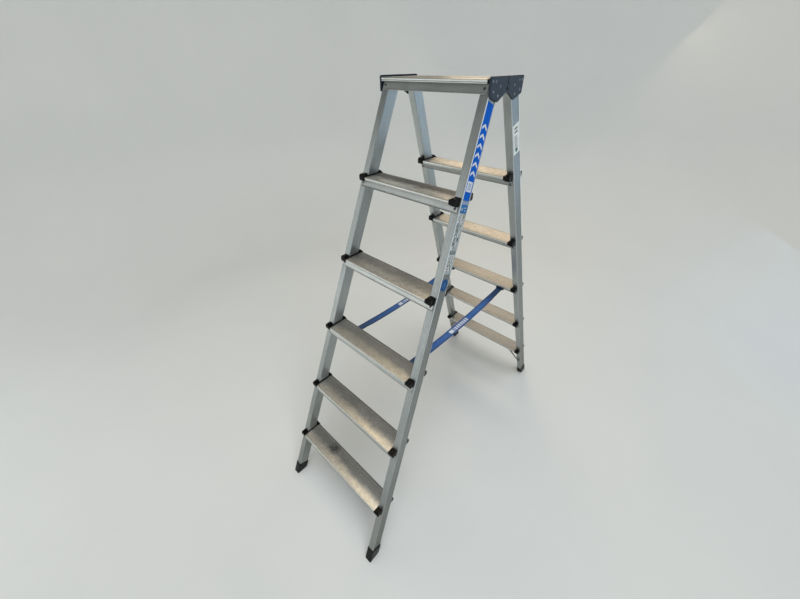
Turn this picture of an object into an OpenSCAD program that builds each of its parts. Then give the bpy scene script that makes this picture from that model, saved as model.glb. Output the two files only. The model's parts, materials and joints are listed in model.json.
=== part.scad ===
// Double-sided step ladder: two tapered frames hinged together at the top and held apart by two straps.
// X runs along the treads, the front side faces -Y, +Z is up, and the origin is on the floor under the middle.

/* [Frame] */
// Height of the platform above the floor
platform_h = 1546; // [1500:1:1600]
// Vertical distance between treads
step_rise = 260; // [250:1:270]
// Lean of each side from the vertical, in degrees
lean = 21.4; // [20.5:0.1:22.5]
// Distance from the middle to the stiles' outer faces, along Y at the floor
foot_spread = 672; // [660:1:690]
// Half of the width over the stiles at the floor
base_half_w = 264.8; // [255:0.1:280]
// Narrowing of each stile towards the top, in degrees
taper = 3.0; // [2.6:0.1:3.2]

/* [Stile] */
// Width of a stile's front face
stile_w = 25; // [23:0.5:27]
// Depth of a stile, square to its front face
stile_d = 42; // [40:0.5:44]
// Wall thickness of the stile extrusion
stile_wall = 1.8; // [1.4:0.1:2.4]
// Radius of the stile's long edges
stile_edge_r = 2.2; // [1.5:0.1:3]
// Depth of the shallow recess down the outer face
recess_depth = 0.8; // [0.5:0.1:1]
// Width of the raised edge on each side of that recess
recess_edge = 3.4; // [2.5:0.1:5]

/* [Treads] */
// Overhang of the nose in front of the stile
nose_out = 18; // [15:0.5:20]
// Overhang of the tread behind the stile
rear_out = 16.9; // [14:0.1:18]
// Height of the rounded nose
nose_h = 11; // [9:0.5:12]
// Height of the flanges that lap over the stiles, from the tread's top
flange_h = 31; // [29:0.5:34]
// Thickness of those flanges
flange_t = 2.6; // [2:0.1:3]
// Thickness of the tread's top wall
tread_wall = 2.5; // [2:0.1:3]
// Height of a tread rivet below the tread's top
rivet_drop = 21; // [19:0.5:24]

/* [End caps and shoes] */
// Height that an end cap stands above the tread
cap_rise = 3.4; // [2:0.1:4]
// Thickness of the cap between the tread and the stile
cap_t = 3.2; // [2.5:0.1:4]
// Length of a shoe along the stile
shoe_l = 58; // [50:1:64]
// Wall thickness of a shoe around the stile
shoe_wall = 2.2; // [1.6:0.1:3]

/* [Hinge] */
// Height of the pivot above the floor
pivot_z = 1523.4; // [1520:0.1:1526]
// Gap between the two hinge plates of a pair, above the pivot
plate_gap = 3.6; // [1:0.2:5]
// Half of the length of a pair of hinge plates
plate_half_l = 81; // [78:0.5:84]
// Height that the plates stand above the platform
plate_rise = 4.5; // [3:0.5:6]
// Radius of the hinge pin
pin_r = 3; // [2.5:0.1:3.5]

/* [Straps] */
// Width of the webbing
strap_w = 30; // [25:1:32]
// Thickness of the webbing
strap_t = 1.6; // [1.2:0.1:2]
// Distance from the middle to the centre of each strap
strap_x = 137; // [130:1:142]
// Height of the bars that the straps loop around
strap_z = 738; // [736:1:740]
// Sag of the strap in its middle
strap_sag = 18; // [10:1:25]

/* [Hidden] */
$fn = 48;
tread_count = 5;
lean_slope = tan(lean);
taper_slope = tan(taper) / cos(lean);
stile_depth_y = stile_d / cos(lean);
flange_y = flange_t / cos(lean);
stile_top_z = platform_h - 6;
stile_bottom_z = 8;
first_z = platform_h - tread_count * step_rise;
flange_end = 4.5;
rivet_in = 12.5;
cap_front = 2;
plate_x1 = 184.5;
plate_mid = 182.1;
lug_x0 = 179.8;
lug_r = 8.5;
strap_bar_n = 6.5;
strap_bar_r = 2.6;
strap_loop_r = 3;
label_t = 0.3;
lip_r = 1.4;
badge_r = 18.5;
// The knobs of the end caps stand in front of the stiles and end just above the tread rivets
knob_drop = rivet_drop - 7;
knob_rise = 4;
knob_r = 7;
knob_in = 3;
knob_out = 6;
far = 3000;

// Outer half width over the stiles, and the stile's front face, at a height
function half_w(z) = base_half_w - taper_slope * z;
function front_y(z) = lean_slope * z - foot_spread;
function inner_x(z) = half_w(z) - stile_w / cos(taper);
// Height of tread i, counted from the bottom; the platform is one above the last
function tread_z(i) = first_z + (i - 1) * step_rise;
// Distance along the slope of a point that is n in front of the stiles' front face
function slope_v(z, n) = (z - n * sin(lean)) / cos(lean);

bar_n = -stile_d - flange_t - strap_bar_n;
bar_y = front_y(strap_z) - bar_n / cos(lean);
strap_half = sqrt(bar_y * bar_y + strap_sag * strap_sag);
strap_dip = atan(strap_sag / -bar_y);

// Ends of a brace: distance from the middle, and height
brace_n = stile_d + flange_t + 1.7;
brace_t = 2.5;
brace_end_r = 5.5;
brace_top = [inner_x(first_z) - 44, first_z - 18];
brace_low = [inner_x(141) + 11, 141];

// Placing: a sub-part is drawn for the right-hand front corner and mirrored to the other corners
module on_side(side) {
    mirror([side == "left" ? 1 : 0, 0, 0]) children();
}

module on_ladder(ladder) {
    mirror([0, ladder == "rear" ? 1 : 0, 0]) children();
}

module both_sides() {
    for (side = ["left", "right"]) on_side(side) children();
}

// The plane of the stiles' front faces: X across, Y up the slope, Z out of the face
module in_slope() {
    translate([0, -foot_spread, 0]) rotate([90 - lean, 0, 0]) children();
}

// Along the right-hand stile: X from its outer face, Y up the stile, Z out of its front face
module in_stile() {
    in_slope() translate([base_half_w, 0, 0]) rotate([0, 0, taper]) children();
}

// Draws an outline given in Y and Z as a bar along X
module along_x(x0, x1) {
    translate([x0, 0, 0]) rotate([90, 0, 90]) linear_extrude(x1 - x0) children();
}

module rounded_box(w, h, r) {
    translate([r, 0]) square([w - 2 * r, h]);
    translate([0, r]) square([w, h - 2 * r]);
    for (x = [r, w - r], y = [r, h - r]) translate([x, y]) circle(r);
}

// A dome-headed rivet along Z, with its head on Z = 0 and its shank below
module rivet(head_r, shank_r, shank_l) {
    dome_h = head_r * 0.4;
    rotate_extrude() difference() {
        union() {
            intersection() {
                translate([0, dome_h - head_r * 1.45]) circle(head_r * 1.45);
                square([head_r, dome_h * 2]);
            }
            translate([0, -shank_l]) square([shank_r, shank_l]);
        }
        translate([-far, -far]) square([far, 2 * far]);
        translate([0, dome_h - head_r * 0.25]) square([head_r * 0.3, head_r]);
    }
}

// Stiles
module stile_outline() {
    difference() {
        translate([-stile_w, -stile_d]) rounded_box(stile_w, stile_d, stile_edge_r);
        translate([stile_wall - stile_w, stile_wall - stile_d])
            rounded_box(stile_w - 2 * stile_wall - recess_depth, stile_d - 2 * stile_wall, 1);
        translate([-recess_depth, recess_edge - stile_d]) square([far, stile_d - 2 * recess_edge]);
    }
}

// Closed block of the stile's full section, for cutting what meets it
module stile_block() {
    in_stile() translate([-stile_w, -100, -stile_d]) cube([stile_w, 1900, stile_d]);
}

module stile(ladder, side) {
    color([0.66, 0.69, 0.70]) on_ladder(ladder) on_side(side) intersection() {
        in_stile() translate([0, 1800, 0]) rotate([90, 0, 0]) linear_extrude(1900) stile_outline();
        translate([-far / 2, -far / 2, stile_bottom_z]) cube([far, far, stile_top_z - stile_bottom_z]);
    }
}

// Tread section, from the point where the stile's front face meets the tread's top: X to the rear, Y up
module tread_outline() {
    depth = nose_out + stile_depth_y + rear_out;
    hollow_h = nose_h - 2 * tread_wall + 0.5;
    difference() {
        translate([-nose_out, -nose_h]) rounded_box(depth, nose_h, 3);
        // Hollow nose and hollow rear edge
        translate([2 - nose_out, 2 - nose_h])
            square([nose_out - 2 - flange_y - lean_slope * nose_h, hollow_h]);
        translate([stile_depth_y + flange_y, 2 - nose_h]) square([rear_out - 2 - flange_y, hollow_h]);
        // Two fine lines along the nose and two along the rear edge
        for (y = [4 - nose_out, 9 - nose_out, depth - nose_out - 9, depth - nose_out - 4])
            translate([y, -0.5]) square([1, 2]);
        // Groove along the front of the nose
        translate([-nose_out - 1, -7.2]) square([1.7, 1.2]);
    }
}

// What the two flanges and the channel between them fill; top and bottom are heights from the tread's top
module slanted_outline(y0, y1, top, bottom) {
    polygon([
        [y0 + lean_slope * top, top], [y1 + lean_slope * top, top],
        [y1 + lean_slope * bottom, bottom], [y0 + lean_slope * bottom, bottom]
    ]);
}

module flanges_outline() {
    lip_z = lip_r + 0.4 - flange_h;
    slanted_outline(-flange_y, stile_depth_y + flange_y, -1, -flange_h);
    translate([-flange_y + lean_slope * lip_z, lip_z]) circle(lip_r);
}

module channel_outline() {
    slanted_outline(0, stile_depth_y, -tread_wall, -2 * flange_h);
}

module tread_rivet_places(z) {
    x = half_w(z) - rivet_in;
    both_sides() in_slope() {
        translate([x, slope_v(z - rivet_drop, 0), flange_t]) children();
        translate([x, slope_v(z - rivet_drop - 3, -stile_d), -stile_d - flange_t])
            rotate([180, 0, 0]) children();
    }
}

// The flanges run past the tread's body, out to lap_half, and lap over the stiles; past knob_half they are lower,
// below the knobs of the end caps
module tread_at(ladder, z, body_half, lap_half, knob_half) {
    color([0.72, 0.70, 0.66]) on_ladder(ladder) difference() {
        translate([0, front_y(z), z]) difference() {
            union() {
                along_x(-body_half, body_half) tread_outline();
                along_x(-lap_half, lap_half) flanges_outline();
            }
            along_x(-lap_half - 1, lap_half + 1) channel_outline();
            both_sides() {
                translate([body_half, -far / 2, -nose_h - 0.5]) cube([far, far, far]);
                translate([knob_half, -far / 2, -knob_drop - 0.5]) cube([far, far, far]);
            }
        }
        tread_rivet_places(z) translate([0, 0, -flange_t - 1]) cylinder(r = 2.45, h = flange_t + 2);
    }
}

module tread(ladder, i) {
    z = tread_z(i);
    tread_at(ladder, z, inner_x(z) - cap_t, half_w(z) - flange_end, inner_x(z) + knob_in - 0.5);
}

// The top treads cover the stiles' ends and run out to the hinge plates
module top_tread(ladder) {
    half = half_w(platform_h) - 3.5;
    tread_at(ladder, platform_h, half, half, half);
}

// End caps: a rim between tread and stile, with a knob in front of the stile and one behind it
module cap_rim_outline() {
    translate([-nose_out - cap_front, -nose_h])
        rounded_box(nose_out + stile_depth_y + rear_out + 2 * cap_front, nose_h + cap_rise, 3.5);
}

module cap_knob_outline(reach) {
    translate([-reach, -knob_drop]) rounded_box(reach + 12, knob_drop + cap_rise + knob_rise, knob_r);
}

module tread_cap(z) {
    body_half = inner_x(z) - cap_t;
    difference() {
        translate([0, front_y(z), z]) {
            along_x(body_half, inner_x(z) + 3) cap_rim_outline();
            along_x(inner_x(z) + knob_in, half_w(z) - knob_out) {
                cap_knob_outline(nose_out + cap_front);
                translate([stile_depth_y, 0]) mirror([1, 0]) cap_knob_outline(rear_out + cap_front);
            }
        }
        stile_block();
    }
}

module tread_caps(ladder, i) {
    color([0.06, 0.06, 0.065]) on_ladder(ladder) both_sides() tread_cap(tread_z(i));
}

// Shoes: a sleeve around the stile's end, cut level with the floor
module shoe(ladder, side) {
    color([0.06, 0.06, 0.065]) on_ladder(ladder) on_side(side) difference() {
        in_stile() translate([0, shoe_l, 0]) rotate([90, 0, 0]) linear_extrude(shoe_l + 60)
            translate([-stile_w - shoe_wall, -stile_d - shoe_wall])
                rounded_box(stile_w + 2 * shoe_wall, stile_d + 2 * shoe_wall, 3.5);
        translate([-far / 2, -far / 2, -far]) cube([far, far, far]);
        intersection() {
            stile_block();
            translate([-far / 2, -far / 2, stile_bottom_z]) cube([far, far, far]);
        }
        // Ribs of the sole
        for (y = [9, 18, 27, 36])
            translate([0, y - foot_spread, 0]) rotate([0, 90, 0]) cylinder(r = 1.5, h = far);
        // Groove around the sleeve
        in_stile() translate([shoe_wall - 0.6, shoe_l - 6, -far / 2]) cube([5, 1.4, far]);
    }
}

// Rivets
module tread_rivets(ladder) {
    color([0.30, 0.31, 0.32]) on_ladder(ladder)
        for (i = [1:tread_count + 1]) tread_rivet_places(tread_z(i)) rivet(4, 2.4, flange_t - 0.05);
}

// Braces: flat bars from the lowest tread's rear flange to the stile's rear face
module brace_end(at, n) {
    in_slope() translate([at[0], slope_v(at[1], -n), -n]) children();
}

module brace(ladder, side) {
    a = [brace_top[0], slope_v(brace_top[1], -brace_n)];
    b = [brace_low[0], slope_v(brace_low[1], -brace_n)];
    length = norm(b - a);
    color([0.45, 0.46, 0.47]) on_ladder(ladder) on_side(side) difference() {
        union() {
            in_slope() translate([a[0], a[1], -brace_n - brace_t]) {
                rotate([0, 0, atan2(b[1] - a[1], b[0] - a[0])]) translate([0, -4.5, 0])
                    cube([length, 9, brace_t]);
                cylinder(r = brace_end_r, h = brace_t + brace_n - stile_d - flange_t);
            }
            in_slope() translate([b[0], b[1], -brace_n - brace_t])
                cylinder(r = brace_end_r, h = brace_t + brace_n - stile_d);
        }
        for (at = [a, b]) in_slope() translate([at[0], at[1], -brace_n - far / 2])
            cylinder(r = 2.05, h = far);
    }
}

module brace_rivets(ladder) {
    color([0.30, 0.31, 0.32]) on_ladder(ladder) both_sides() {
        brace_end(brace_top, brace_n) translate([0, 0, -brace_t]) rotate([180, 0, 0]) rivet(3.8, 2, 4);
        brace_end(brace_low, brace_n) translate([0, 0, -brace_t]) rotate([180, 0, 0]) rivet(3.8, 2, 6);
    }
}

// Hinge plates: outline in Y and Z on the front side; the lugs of a pair share the plate's thickness
module plate_outline() {
    seam = plate_gap / 2;
    top = platform_h + plate_rise;
    low_z = 1511.2;
    heel = [-41.5, 1497.5];
    polygon([
        [-plate_half_l, low_z], [-plate_half_l, top - 3], [3 - plate_half_l, top],
        [-seam, top], [-seam, pivot_z], [-5, pivot_z - 6.9], heel
    ]);
}

module lug_disc(r) {
    translate([0, pivot_z]) circle(r);
}

module hinge_plate(ladder, side) {
    outer = ladder == "front";
    color([0.20, 0.24, 0.30]) on_ladder(ladder) on_side(side) difference() {
        union() {
            along_x(176, plate_x1) difference() {
                plate_outline();
                lug_disc(lug_r + 0.5);
            }
            along_x(outer ? plate_mid + 0.1 : 176, outer ? plate_x1 : plate_mid - 0.1) {
                intersection() {
                    plate_outline();
                    lug_disc(lug_r + 0.5);
                }
                lug_disc(lug_r);
            }
        }
        // The plate lies against the stile's tapered outer face
        in_stile() translate([-far, 0, -far / 2]) cube([far, far, far]);
        along_x(0, lug_x0) lug_disc(13);
        along_x(0, far) lug_disc(pin_r + 0.05);
        hinge_rivet_places() translate([0, 0, -far / 2]) cylinder(r = 2.05, h = far);
    }
}

module hinge_pin(side) {
    color([0.10, 0.10, 0.11]) on_side(side) translate([0, 0, pivot_z]) rotate([0, 90, 0]) {
        translate([0, 0, lug_x0 - 1.7]) cylinder(r = 5.2, h = 1.6);
        translate([0, 0, lug_x0 - 1.7]) cylinder(r = pin_r, h = plate_x1 - lug_x0 + 2.5);
        translate([0, 0, plate_x1]) rivet(5.2, pin_r, 0.1);
    }
}

module hinge_rivet_places() {
    for (at = [[-60, 1540.5], [-36, 1530.5], [-67, 1520], [-43, 1510.5], [-74, 1541]])
        translate([plate_x1, at[0], at[1]]) rotate([0, 90, 0]) children();
}

module hinge_rivets(ladder) {
    color([0.26, 0.30, 0.36]) on_ladder(ladder) both_sides() hinge_rivet_places() rivet(3.2, 2, 3.6);
}

// Straps: brackets with a bar on the third tread's rear flange; each half hangs from its bar to the middle
module strap_bracket() {
    ear_t = 2.4;
    base_t = 1.5;
    bracket_w = strap_w + 2 * ear_t + 1;
    translate([strap_x - bracket_w / 2, 0, 0]) in_slope() translate([0, slope_v(strap_z, bar_n), 0]) {
        translate([0, -5, -stile_d - flange_t - base_t]) cube([bracket_w, 14, base_t]);
        for (x = [0, bracket_w - ear_t]) {
            translate([x, -5, bar_n]) cube([ear_t, 10, strap_bar_n - 1]);
            translate([x, 0, bar_n]) rotate([0, 90, 0]) cylinder(r = 5, h = ear_t);
        }
        translate([0, 0, bar_n]) rotate([0, 90, 0]) cylinder(r = strap_bar_r, h = bracket_w);
    }
}

module strap_brackets(ladder) {
    color([0.12, 0.13, 0.15]) on_ladder(ladder) both_sides() strap_bracket();
}

// Half a strap: its loop is round the bar, and it runs from there to the strap's middle
module strap_half_band(gap) {
    loop_outer = strap_loop_r + strap_t;
    translate([strap_x - strap_w / 2, bar_y, strap_z]) rotate([-strap_dip, 0, 0]) difference() {
        union() {
            translate([0, 0, -strap_t / 2]) cube([strap_w, strap_half - gap, strap_t]);
            rotate([0, 90, 0]) cylinder(r = loop_outer, h = strap_w);
        }
        translate([-1, 0, 0]) rotate([0, 90, 0]) cylinder(r = strap_loop_r, h = strap_w + 2);
    }
}

module strap(ladder, side) {
    color([0.10, 0.25, 0.55]) on_ladder(ladder) on_side(side)
        strap_half_band(ladder == "rear" ? 1.2 : 0.2);
}

// Labels lie in the recess of the stile's outer face; v0 and v1 are distances along the stile
label_w = stile_d - 2 * recess_edge - 1;

module label_patch(v0, v1) {
    in_stile() translate([-recess_depth, v0, (label_w - stile_d) / 2 - label_w])
        cube([label_t, v1 - v0, label_w]);
}

module label_on(z0, z1) {
    label_patch(z0 / cos(lean) / cos(taper), z1 / cos(lean) / cos(taper));
}

module blue_strip_label() {
    color([0.02, 0.20, 0.62]) label_on(1290, 1505);
}

module small_label() {
    color([0.35, 0.50, 0.68]) label_on(1260, 1288);
}

module pictogram_label() {
    color([0.80, 0.84, 0.86]) label_on(1100, 1258);
}

// A round badge, trimmed to the width of the labels
module round_badge() {
    v = 1069 / cos(lean) / cos(taper);
    color([0.08, 0.18, 0.38]) intersection() {
        label_patch(v - badge_r, v + badge_r);
        in_stile() translate([-recess_depth, v, -stile_d / 2]) rotate([0, 90, 0])
            cylinder(r = badge_r, h = label_t);
    }
}

module rear_label() {
    color([0.86, 0.88, 0.86]) on_ladder("rear") label_on(1364, 1445);
}

for (ladder = ["front", "rear"], side = ["left", "right"]) {
    stile(ladder, side);
    shoe(ladder, side);
    brace(ladder, side);
    hinge_plate(ladder, side);
    strap(ladder, side);
}
for (ladder = ["front", "rear"], i = [1:tread_count]) {
    tread(ladder, i);
    tread_caps(ladder, i);
}
for (ladder = ["front", "rear"]) {
    top_tread(ladder);
    tread_rivets(ladder);
    brace_rivets(ladder);
    hinge_rivets(ladder);
    strap_brackets(ladder);
}
for (side = ["left", "right"])
    hinge_pin(side);
blue_strip_label();
small_label();
pictogram_label();
round_badge();
rear_label();
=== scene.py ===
"""Looks of a double-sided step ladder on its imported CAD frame. Metres, +Z up, the front side towards -Y."""

import json
import math
import random

import bmesh
import bpy
import numpy as np
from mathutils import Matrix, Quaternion, Vector


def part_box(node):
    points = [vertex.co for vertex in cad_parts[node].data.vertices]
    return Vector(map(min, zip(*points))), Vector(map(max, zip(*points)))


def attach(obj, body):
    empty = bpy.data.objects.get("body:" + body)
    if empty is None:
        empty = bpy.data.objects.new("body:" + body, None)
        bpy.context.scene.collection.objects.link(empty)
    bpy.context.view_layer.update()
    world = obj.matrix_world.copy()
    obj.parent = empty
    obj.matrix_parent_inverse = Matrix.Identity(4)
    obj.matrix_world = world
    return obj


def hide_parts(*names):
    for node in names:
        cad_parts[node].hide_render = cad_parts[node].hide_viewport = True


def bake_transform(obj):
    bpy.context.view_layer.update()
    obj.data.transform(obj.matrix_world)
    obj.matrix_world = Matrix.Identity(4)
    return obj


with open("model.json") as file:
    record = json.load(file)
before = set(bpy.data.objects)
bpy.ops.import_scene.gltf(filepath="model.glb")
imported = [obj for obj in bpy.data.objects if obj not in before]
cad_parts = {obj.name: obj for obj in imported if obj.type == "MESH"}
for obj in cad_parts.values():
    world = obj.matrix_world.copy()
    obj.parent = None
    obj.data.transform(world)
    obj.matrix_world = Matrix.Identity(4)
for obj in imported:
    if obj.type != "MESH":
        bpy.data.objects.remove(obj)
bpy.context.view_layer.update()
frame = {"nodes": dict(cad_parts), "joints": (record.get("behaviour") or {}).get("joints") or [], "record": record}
NODES = frame["nodes"]
JOINTS = {j["name"]: j for j in frame["joints"]}
MM = 0.001
# Each side leans towards the other, and its stiles taper towards its top
LEAN = math.radians(21.4)
TAPER = math.radians(3.0)
SIDES = {"left": -1, "right": 1}
LADDERS = {"front": 1, "rear": -1}
FIRST_TREAD_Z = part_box("front_tread_1")[1][2]
STEP_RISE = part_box("front_tread_2")[1][2] - FIRST_TREAD_Z


def tread_z(steps):
    """Height of a tread's top, so many steps above the first one's."""
    return FIRST_TREAD_Z + steps * STEP_RISE


# ---------------------------------------------------------------- node helpers
class Shader:
    """A node material. Calls make nodes; an input is a value or another node's output."""

    def __init__(self, name):
        self.material = bpy.data.materials.new(name)
        self.material.use_nodes = True
        self.tree = self.material.node_tree
        self.tree.nodes.clear()
        out = self.tree.nodes.new("ShaderNodeOutputMaterial")
        self.bsdf = self.tree.nodes.new("ShaderNodeBsdfPrincipled")
        self.tree.links.new(self.bsdf.outputs[0], out.inputs[0])

    def put(self, socket, value):
        if isinstance(value, bpy.types.NodeSocket):
            self.tree.links.new(value, socket)
        elif value is not None:
            if socket.type == "RGBA" and len(value) == 3:
                value = (*value, 1)
            socket.default_value = value

    def node(self, kind, *values, out=0, **named):
        """A node's output. Values fill its inputs in order; a name is a property or an input."""
        n = self.tree.nodes.new("ShaderNode" + kind)
        for key in [k for k in named if hasattr(n, k)]:
            setattr(n, key, named.pop(key))
        for socket, value in zip(n.inputs, values):
            self.put(socket, value)
        for key, value in named.items():
            self.put(n.inputs[key], value)
        return n.outputs[out]

    def set(self, **named):
        for key, value in named.items():
            self.put(self.bsdf.inputs[key.replace("_", " ")], value)

    def math(self, operation, a, b=0.0, clamp=False):
        return self.node("Math", a, b, operation=operation, use_clamp=clamp)

    def times(self, a, b):
        return self.math("MULTIPLY", a, b)

    def plus(self, a, b, clamp=False):
        return self.math("ADD", a, b, clamp)

    def minus(self, a, b):
        return self.math("SUBTRACT", a, b)

    def larger(self, a, b):
        return self.math("MAXIMUM", a, b)

    def coords(self, kind="Object"):
        return self.node("TexCoord", out=kind)

    def mapped(self, vector, location=(0, 0, 0), rotation=(0, 0, 0), scale=(1, 1, 1)):
        return self.node("Mapping", vector, location, rotation, scale)

    def noise(self, vector, scale=1.0, detail=2.0, roughness=0.5):
        return self.node("TexNoise", out="Fac", Vector=vector, Scale=scale, Detail=detail,
                         Roughness=roughness)

    def ramp(self, factor, low, high, to_low=0.0, to_high=1.0, smooth=False):
        """to_low where the factor is low, to_high where it is high, and a straight or smooth rise between."""
        kind = "SMOOTHSTEP" if smooth else "LINEAR"
        return self.node("MapRange", factor, low, high, to_low, to_high, interpolation_type=kind, clamp=True)

    def band(self, value, centre, half, fade):
        """1 within half of centre, falling to 0 over the fade."""
        away = self.math("ABSOLUTE", self.minus(value, centre))
        return self.ramp(away, half, half + fade, 1.0, 0.0, True)

    def mix(self, factor, a, b):
        """Colour a where the factor is 0, colour b where it is 1."""
        n = self.tree.nodes.new("ShaderNodeMix")
        n.data_type = "RGBA"
        self.put(n.inputs[0], factor)
        self.put(n.inputs[6], a)
        self.put(n.inputs[7], b)
        return n.outputs[2]

    def tint(self, tone, mask, amount, colour):
        """The tone with the amount of the colour mixed in where the mask is 1."""
        return self.mix(self.times(mask, amount), tone, colour)

    def blend(self, factor, a, b):
        """Number a where the factor is 0, number b where it is 1."""
        n = self.tree.nodes.new("ShaderNodeMix")
        self.put(n.inputs[0], factor)
        self.put(n.inputs[2], a)
        self.put(n.inputs[3], b)
        return n.outputs[0]

    def scaled(self, colour, factor):
        return self.node("VectorMath", colour, operation="SCALE", Scale=factor)

    def bump(self, height, strength, distance, normal=None):
        return self.node("Bump", Strength=strength, Distance=distance, Height=height, Normal=normal)

    def soft_edges(self, radius):
        return self.node("Bevel", samples=4, Radius=radius)

    def edge_mask(self, soft, full=0.90):
        """1 where the softened normal turns away from the face's own, as on an edge; 0 on a flat face."""
        flat = self.node("NewGeometry", out="Normal")
        turn = self.node("VectorMath", soft, flat, operation="DOT_PRODUCT", out="Value")
        return self.ramp(turn, 0.995, full)

    def split(self, vector):
        """The three outputs X, Y and Z."""
        n = self.tree.nodes.new("ShaderNodeSeparateXYZ")
        self.put(n.inputs[0], vector)
        return n.outputs


# ---------------------------------------------------------------- materials
# Where the plane of a side's climbing faces meets the floor, and distances behind it on a stile's outer face
FOOT_Y = 0.672
FRONT_EDGE, BACK_EDGE = 0.0017, 0.0404
RECESS_STEPS = (0.0044, 0.0376)


def stile_material(name, side, ladder):
    """Anodised extrusion: fine lines along the stile, scuffs and nicks, smears, a darker and warmer tone near the
    floor, and painted light and shade on its faces and edges.
    """
    s = Shader(name)
    along = s.mapped(s.coords(), rotation=(LADDERS[ladder] * LEAN, SIDES[side] * -TAPER, 0))
    lines = s.noise(s.mapped(along, scale=(900, 900, 1.2)), detail=3)
    bands = s.noise(s.mapped(along, scale=(190, 190, 0.5)), detail=2)
    smear = s.noise(s.mapped(along, scale=(12, 12, 5)), detail=5, roughness=0.65)
    fleck = s.noise(s.mapped(along, scale=(260, 260, 90)), detail=4, roughness=0.7)
    scuff = s.noise(s.mapped(along, scale=(300, 300, 26)), detail=5, roughness=0.7)
    nick = s.noise(s.mapped(along, location=(5.3, 1.1, 0), scale=(420, 420, 150)), detail=3)
    tone = s.mix(s.ramp(smear, 0.32, 0.70), (0.325, 0.352, 0.35), (0.44, 0.462, 0.452))
    tone = s.tint(tone, s.ramp(lines, 0.3, 0.7), 0.28, (0.28, 0.30, 0.30))
    tone = s.tint(tone, s.ramp(bands, 0.35, 0.65), 0.22, (0.25, 0.27, 0.27))
    tone = s.tint(tone, s.ramp(fleck, 0.50, 0.70), 0.25, (0.56, 0.57, 0.56))
    tone = s.tint(tone, s.ramp(scuff, 0.65, 0.72), 0.40, (0.72, 0.73, 0.72))
    tone = s.tint(tone, s.ramp(nick, 0.68, 0.72), 0.6, (0.10, 0.10, 0.10))

    # Painted shade: the outer face is darkened, and more so along both steps of its recess
    place, normal = s.split(s.coords()), s.split(s.coords("Normal"))
    outer = s.ramp(s.times(normal[0], SIDES[side]), 0.5, 0.95)
    forward = s.times(place[1], -LADDERS[ladder] * math.cos(LEAN))
    behind = s.minus(FOOT_Y * math.cos(LEAN), s.plus(s.times(place[2], math.sin(LEAN)), forward))
    painted_shade = s.larger(*(s.band(behind, step, 0.0007, 0.0012) for step in RECESS_STEPS))
    tone = s.scaled(tone, s.blend(outer, 1.03, 0.76))
    tone = s.scaled(tone, s.blend(s.times(outer, painted_shade), 1.0, 0.52))
    # Painted light: the face towards the other side is brightened. The stile is also darker and warmer towards its
    # foot, more so on its outer face
    inward = s.ramp(s.times(normal[1], LADDERS[ladder]), 0.5, 0.9)
    tone = s.scaled(tone, s.blend(inward, 1.0, 1.25))
    low = s.ramp(place[2], 0.56, 0.06, 0.0, 1.0, True)
    dirt = s.mix(outer, (0.19, 0.185, 0.160), (0.155, 0.152, 0.132))
    tone = s.tint(tone, low, s.blend(outer, 0.30, 0.85), dirt)
    # Painted shade: a darker band about 1.15 m up the front stiles
    if ladder == "front":
        tone = s.scaled(tone, s.blend(s.band(place[2], 1.15, 0.10, 0.16), 1.0, 0.87))

    # Painted highlight along the raised edges beside the recess, fading towards the foot, and rubbed corners
    # lightened partly as wear and partly as a painted highlight
    front_edge = s.band(behind, FRONT_EDGE, 0.0018, 0.0007)
    back_edge = s.band(behind, BACK_EDGE, 0.0014, 0.0008)
    painted_highlight = s.larger(s.times(front_edge, 0.9), s.times(back_edge, 0.45))
    painted_highlight = s.times(s.times(outer, painted_highlight), s.ramp(place[2], 0.35, 1.05, 0.25, 1.0))
    tone = s.mix(painted_highlight, tone, (0.93, 0.97, 0.98))
    soft = s.soft_edges(0.0011)
    edge = s.edge_mask(soft)
    tone = s.tint(tone, edge, 0.65, (0.86, 0.89, 0.90))
    edge = s.larger(edge, s.times(painted_highlight, 0.8))
    rough = s.plus(s.ramp(smear, 0.3, 0.75, 0.30, 0.43), s.ramp(bands, 0.3, 0.7, -0.04, 0.04))
    s.set(Base_Color=tone, Metallic=s.blend(painted_highlight, 1.0, 0.45), Roughness=s.blend(edge, rough, 0.26),
          Normal=s.bump(s.plus(lines, s.times(bands, 0.6)), 0.12, 0.0003, soft))
    return s.material


class TreadShader(Shader):
    """The places, noises, masks and coating that a tread's top and its sides share."""

    def __init__(self, name, ladder):
        super().__init__(name)
        self.ladder = ladder
        self.place = self.coords()
        self.z = self.split(self.place)[2]
        # From 0 to 1: across the tread from left to right, and from its nose inwards
        box = self.split(self.coords("Generated"))
        self.across = box[0]
        self.inwards = box[1] if ladder == "front" else self.minus(1.0, box[1])
        self.top = self.ramp(box[2], 0.93, 0.985)
        self.lines = self.noise(self.mapped(self.place, scale=(1.5, 1100, 1100)), detail=3)
        self.bands = self.noise(self.mapped(self.place, scale=(0.8, 170, 170)), detail=2)
        self.cloud = self.noise(self.mapped(self.place, scale=(15, 24, 24)), detail=6, roughness=0.66)
        self.fleck = self.noise(self.mapped(self.place, scale=(210, 260, 260)), detail=4, roughness=0.7)
        patches = self.mapped(self.place, location=(1.7, 2.3, 0), scale=(70, 85, 85))
        self.patch = self.noise(patches, detail=5, roughness=0.68)
        self.coating = self.mix(self.ramp(self.cloud, 0.30, 0.72), (0.29, 0.29, 0.28), (0.37, 0.365, 0.345))
        # The fifth tread, and the top tread above it
        self.fifth = self.band(self.z, tread_z(4), 0.05, 0.02)
        self.sixth = self.ramp(self.z, tread_z(4.5), tread_z(4.8))


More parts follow.
